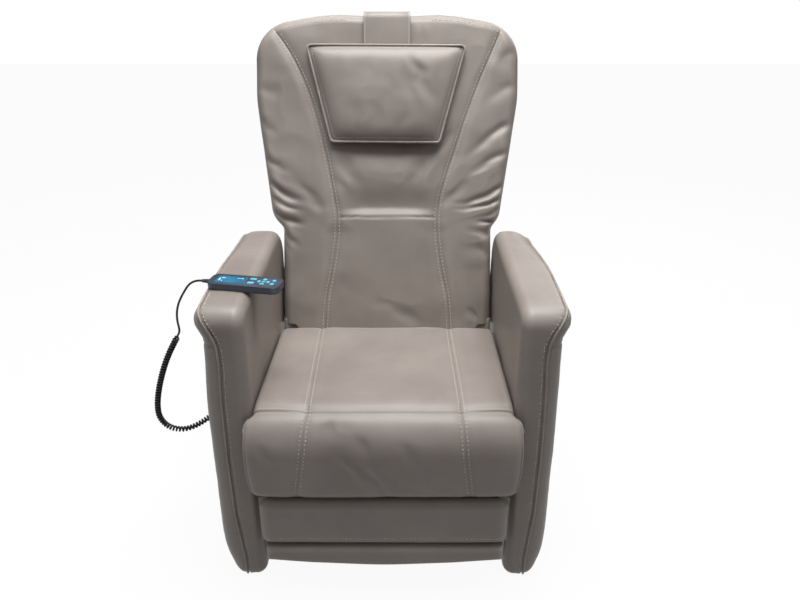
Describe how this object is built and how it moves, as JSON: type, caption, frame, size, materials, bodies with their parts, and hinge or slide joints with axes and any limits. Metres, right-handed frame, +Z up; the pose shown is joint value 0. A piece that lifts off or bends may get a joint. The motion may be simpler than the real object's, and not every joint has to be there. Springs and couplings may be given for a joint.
{
  "type": "patient riser recliner chair",
  "caption": "Leather riser recliner with reclining back, rising legrest, lift base, sliding head pillow and a wired handset resting on the armrest.",
  "frame": {"origin": "centre of the footprint, on the floor", "axes": "+X towards the sitter's left, the chair faces -Y, +Z up"},
  "size_m": [0.8819, 0.807, 1.1563],
  "materials": {
    "leather_cover": "satin",
    "foam": "matte",
    "lining": "matte",
    "plywood": "satin",
    "frame_paint": "satin",
    "link_steel": "satin",
    "spring_steel": "satin",
    "motor_plastic": "satin",
    "rod_steel": "polished",
    "black_plastic": "satin",
    "glide_rubber": "matte",
    "handset_case": "satin",
    "key_caps": "gloss",
    "cord_jacket": "satin"
  },
  "bodies": {
    "base": {"base_side_rails": "frame_paint", "base_cross_rails": "frame_paint", "floor_glides": "glide_rubber", "base_brackets": "frame_paint", "lift_motor": "motor_plastic"},
    "front_links": {"front_lift_links": "link_steel", "lift_torque_tube": "frame_paint"},
    "rear_links": {"rear_lift_links": "link_steel"},
    "lift_actuator_rod": {"lift_rod": "rod_steel"},
    "chassis": {"seat_side_rails": "frame_paint", "seat_cross_members": "frame_paint", "drop_plates": "frame_paint", "seat_springs": "spring_steel", "seat_cover": "leather_cover", "seat_foam": "foam", "arm_boards": "plywood", "arm_cover_left": "leather_cover", "arm_cover_right": "leather_cover", "arm_outer_panel_left": "leather_cover", "arm_outer_panel_right": "leather_cover", "arm_foam": "foam", "arm_bolts": "link_steel", "rear_valance": "lining", "back_hinge_brackets": "frame_paint", "back_motor": "motor_plastic", "legrest_motor": "motor_plastic", "motor_mounts": "frame_paint", "control_box": "motor_plastic", "mains_inlet": "black_plastic", "legrest_hangers": "frame_paint", "handset_socket": "black_plastic", "handset_lead": "cord_jacket", "handset_coil": "cord_jacket", "handset_tail": "cord_jacket"},
    "back": {"back_cover": "leather_cover", "back_rear_panel": "lining", "back_foam": "foam", "back_frame": "frame_paint", "back_springs": "spring_steel", "back_hinge_plates": "frame_paint", "pillow_strap": "leather_cover"},
    "back_actuator_rod": {"back_rod": "rod_steel"},
    "pillow": {"head_pillow": "leather_cover"},
    "counterweight": {"pillow_counterweight": "leather_cover"},
    "legrest": {"legrest_pad": "leather_cover", "legrest_board": "plywood", "legrest_brackets": "frame_paint"},
    "legrest_actuator_rod": {"legrest_rod": "rod_steel"},
    "foot_plate": {"footplate": "leather_cover"},
    "handset": {"handset_base": "handset_case", "handset_top": "handset_case"},
    "key_recline": {"key_recline": "key_caps"},
    "key_upright": {"key_upright": "key_caps"},
    "key_legs_up": {"key_legs_up": "key_caps"},
    "key_legs_down": {"key_legs_down": "key_caps"},
    "key_lift": {"key_lift": "key_caps"},
    "key_lower": {"key_lower": "key_caps"},
    "key_stop": {"key_stop": "key_caps"},
    "key_memory_1": {"key_memory_1": "key_caps"},
    "key_memory_2": {"key_memory_2": "key_caps"}
  },
  "joints": [
    {"name": "lift", "type": "hinge", "parent": "base", "child": "front_links", "pos_m": [0, -0.3, 0.075], "axis": [1, 0, 0], "range_deg": [0, 50]},
    {"name": "rear_link_swing", "type": "hinge", "parent": "base", "child": "rear_links", "pos_m": [0, -0.1883, 0.113], "axis": [1, 0, 0], "range_deg": [0, 44.7]},
    {"name": "chassis_tilt", "type": "hinge", "parent": "front_links", "child": "chassis", "pos_m": [0, -0.0458, 0.0954], "axis": [1, 0, 0], "range_deg": [-40.05, 0]},
    {"name": "lift_rod_slide", "type": "slide", "parent": "base", "child": "lift_actuator_rod", "axis": [0, -1, 0], "range_m": [0, 0.07188]},
    {"name": "recline", "type": "hinge", "parent": "chassis", "child": "back", "pos_m": [0, 0.065, 0.385], "axis": [-1, 0, 0], "range_deg": [0, 45]},
    {"name": "back_rod_slide", "type": "slide", "parent": "chassis", "child": "back_actuator_rod", "axis": [0, -1, 0], "range_m": [0, 0.08423]},
    {"name": "legrest", "type": "hinge", "parent": "chassis", "child": "legrest", "pos_m": [0, -0.345, 0.207], "axis": [-1, 0, 0], "range_deg": [0, 80]},
    {"name": "legrest_rod_slide", "type": "slide", "parent": "chassis", "child": "legrest_actuator_rod", "axis": [0, -1, 0], "range_m": [0, 0.09004]},
    {"name": "footplate_slide", "type": "slide", "parent": "legrest", "child": "foot_plate", "axis": [0, 0, -1], "range_m": [0, 0.07504]},
    {"name": "pillow_slide", "type": "slide", "parent": "back", "child": "pillow", "axis": [0, 0.342, 0.9397], "range_m": [-0.12, 0.03]},
    {"name": "counterweight_slide", "type": "slide", "parent": "back", "child": "counterweight", "axis": [0, 0.342, 0.9397], "range_m": [-0.03, 0.12]},
    {"name": "handset_lift_off", "type": "slide", "parent": "chassis", "child": "handset", "axis": [0, 0, 1], "range_m": [0, 0.08]},
    {"name": "press_recline", "type": "slide", "parent": "handset", "child": "key_recline", "axis": [0, 0.0525, -0.9986], "range_m": [0, 0.001], "stiffness_N_per_m": 600, "springref_m": -0.0006},
    {"name": "press_upright", "type": "slide", "parent": "handset", "child": "key_upright", "axis": [0, 0.0525, -0.9986], "range_m": [0, 0.001], "stiffness_N_per_m": 600, "springref_m": -0.0006},
    {"name": "press_legs_up", "type": "slide", "parent": "handset", "child": "key_legs_up", "axis": [0, 0.0525, -0.9986], "range_m": [0, 0.001], "stiffness_N_per_m": 600, "springref_m": -0.0006},
    {"name": "press_legs_down", "type": "slide", "parent": "handset", "child": "key_legs_down", "axis": [0, 0.0525, -0.9986], "range_m": [0, 0.001], "stiffness_N_per_m": 600, "springref_m": -0.0006},
    {"name": "press_lift", "type": "slide", "parent": "handset", "child": "key_lift", "axis": [0, 0.0525, -0.9986], "range_m": [0, 0.001], "stiffness_N_per_m": 600, "springref_m": -0.0006},
    {"name": "press_lower", "type": "slide", "parent": "handset", "child": "key_lower", "axis": [0, 0.0525, -0.9986], "range_m": [0, 0.001], "stiffness_N_per_m": 600, "springref_m": -0.0006},
    {"name": "press_stop", "type": "slide", "parent": "handset", "child": "key_stop", "axis": [0, 0.0525, -0.9986], "range_m": [0, 0.001], "stiffness_N_per_m": 600, "springref_m": -0.0006},
    {"name": "press_memory_1", "type": "slide", "parent": "handset", "child": "key_memory_1", "axis": [0, 0.0525, -0.9986], "range_m": [0, 0.001], "stiffness_N_per_m": 600, "springref_m": -0.0006},
    {"name": "press_memory_2", "type": "slide", "parent": "handset", "child": "key_memory_2", "axis": [0, 0.0525, -0.9986], "range_m": [0, 0.001], "stiffness_N_per_m": 600, "springref_m": -0.0006}
  ],
  "couplings": [
    {"joint": "rear_link_swing", "follows": "lift", "ratio": 0.8928},
    {"joint": "chassis_tilt", "follows": "lift", "ratio": -0.8},
    {"joint": "lift_rod_slide", "follows": "lift", "m_per_rad": 0.082328},
    {"joint": "back_rod_slide", "follows": "recline", "m_per_rad": 0.10719},
    {"joint": "legrest_rod_slide", "follows": "legrest", "m_per_rad": 0.064451},
    {"joint": "footplate_slide", "follows": "legrest", "m_per_rad": 0.053715},
    {"joint": "counterweight_slide", "follows": "pillow_slide", "ratio": -1}
  ]
}
